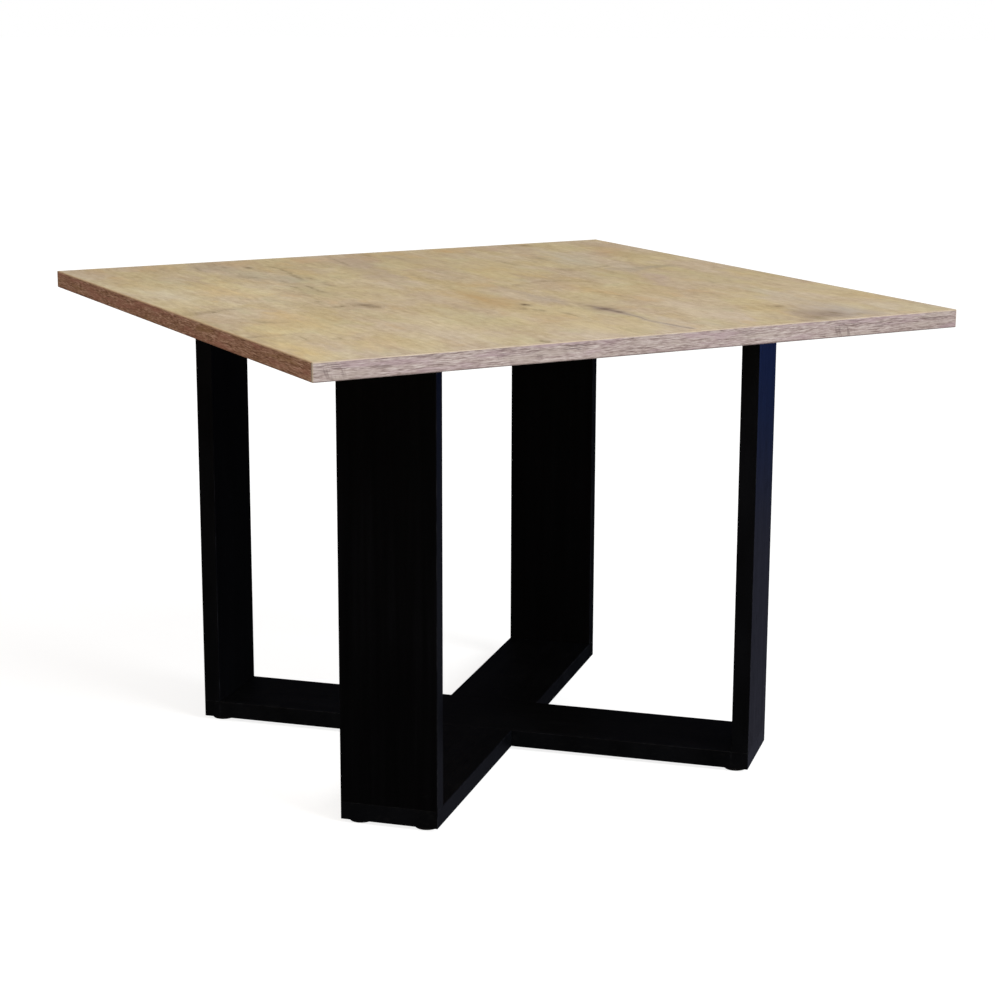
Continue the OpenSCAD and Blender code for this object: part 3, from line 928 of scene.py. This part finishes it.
def lamp(kind, name, place, aim, power, colour, **props):
    light = bpy.data.lights.new(name, kind)
    light.energy, light.color = power, colour
    for k, v in props.items():
        setattr(light, k, v)
    o = bpy.data.objects.new(name, light)
    scene.collection.objects.link(o)
    o.location = place
    o.rotation_mode = "QUATERNION"
    o.rotation_quaternion = (Vector(aim) - Vector(place)).to_track_quat("-Z", "Y")
    return o


# A softbox over the front of the table, and a broad cool window light from the front right
lamp(
    "AREA", "softbox", (-0.1, -1.4, 2.3), (0, 0.05, 0.45), 26, (1.0, 0.985, 0.95),
    shape="RECTANGLE", size=1.8, size_y=1.8,
)
window = lamp(
    "SUN", "window", (1.5, -2.6, 1.75), (0, 0, 0.35), 3.3, (0.95, 0.985, 1.0), angle=0.55
)
# It's behind a diffuser, so it leaves no glare on the top for the views from behind
window.visible_glossy = False



def card():
    """A dim blue-grey card off to the right, seen only in reflections: grey low down and bluer higher up."""
    place, wide, low, high = Vector((0.737, -0.011, 0)), 0.44, -0.55, 0.50
    side = Vector((-0.479, 0.878, 0)) * wide / 2
    me = bpy.data.meshes.new("studio_card")
    me.from_pydata(
        [
            place - side + Vector((0, 0, low)),
            place + side + Vector((0, 0, low)),
            place + side + Vector((0, 0, high)),
            place - side + Vector((0, 0, high)),
        ],
        [],
        [(0, 1, 2, 3)],
    )
    o = bpy.data.objects.new("studio_card", me)
    scene.collection.objects.link(o)
    m, net, shader = material("studio_card")
    z = net.split(net.point())[2]
    shader.inputs["Base Color"].default_value = (0, 0, 0, 1)
    shader.inputs["Specular IOR Level"].default_value = 0.0
    net.put(
        shader.inputs["Emission Color"],
        net.ramp(
            net.line(z, -0.20, 0.40),
            (0.0, (0.110, 0.110, 0.148)),
            (0.55, (0.082, 0.086, 0.135)),
            (0.78, (0.036, 0.062, 0.20)),
            (1.0, (0.034, 0.064, 0.26)),
        ),
    )
    shader.inputs["Emission Strength"].default_value = 1.3
    me.materials.append(m)
    o.visible_camera = o.visible_diffuse = o.visible_shadow = o.visible_transmission = False


card()

world = bpy.data.worlds.new("studio")
scene.world = world
world.use_nodes = True
world.node_tree.nodes.clear()
wn = Net(world.node_tree)
dx, dy, dz = wn.split(wn.node("ShaderNodeTexCoord").outputs["Generated"])
# The room above the floor: warm on the left, cool on the right
room = wn.mix(wn.smooth(dx, -0.8, 0.8), (0.36, 0.27, 0.20), (0.34, 0.37, 0.41))
# Reflections find it darker low down behind the table, as behind a black flag
path = wn.node("ShaderNodeLightPath").outputs
low = wn.mul(wn.smooth(dz, 0.85, 0.50), wn.smooth(dy, 0.0, 0.45))
room = wn.mix(wn.mul(low, path["Is Glossy Ray"]), room, (0.008, 0.008, 0.014))
# Below the horizon only reflections see it, because the floor hides it from the rest
fill = wn.mix(wn.smooth(dz, 0.02, -0.02), room, (0.005, 0.005, 0.006))
sky = wn.node("ShaderNodeBackground")
wn.put(sky.inputs[0], wn.mix(path["Is Camera Ray"], fill, (1.0, 1.0, 1.0)))
sky.inputs[1].default_value = 1.0
world.node_tree.links.new(
    sky.outputs[0], wn.node("ShaderNodeOutputWorld").inputs[0]
)

# The photograph's view: worked out from the table's corners and edges in it
AZIMUTH, ELEVATION, ROLL = math.radians(-28.496), math.radians(12.912), math.radians(0.184)
AWAY, TARGET, LENS = 2.4591, Vector((0.0203, 0.0, 0.2594)), 81.803
back = Vector(
    (
        math.sin(AZIMUTH) * math.cos(ELEVATION),
        -math.cos(AZIMUTH) * math.cos(ELEVATION),
        math.sin(ELEVATION),
    )
)
right = Vector((0, 0, 1)).cross(back).normalized()
up = back.cross(right)
cam = bpy.data.cameras.new("camera")
cam.lens, cam.sensor_width, cam.sensor_fit = LENS, 36.0, "AUTO"
cam.clip_start, cam.clip_end = 0.05, 100.0
camera = bpy.data.objects.new("camera", cam)
scene.collection.objects.link(camera)
r = right * math.cos(ROLL) + up * math.sin(ROLL)
u = up * math.cos(ROLL) - right * math.sin(ROLL)
camera.matrix_world = Matrix.Translation(TARGET + back * AWAY) @ Matrix(
    (r, u, back)
).transposed().to_4x4()
scene.camera = camera

scene.view_settings.view_transform = "Standard"
scene.view_settings.look = "None"
scene.view_settings.exposure = 0.0
scene.view_settings.gamma = 1.0
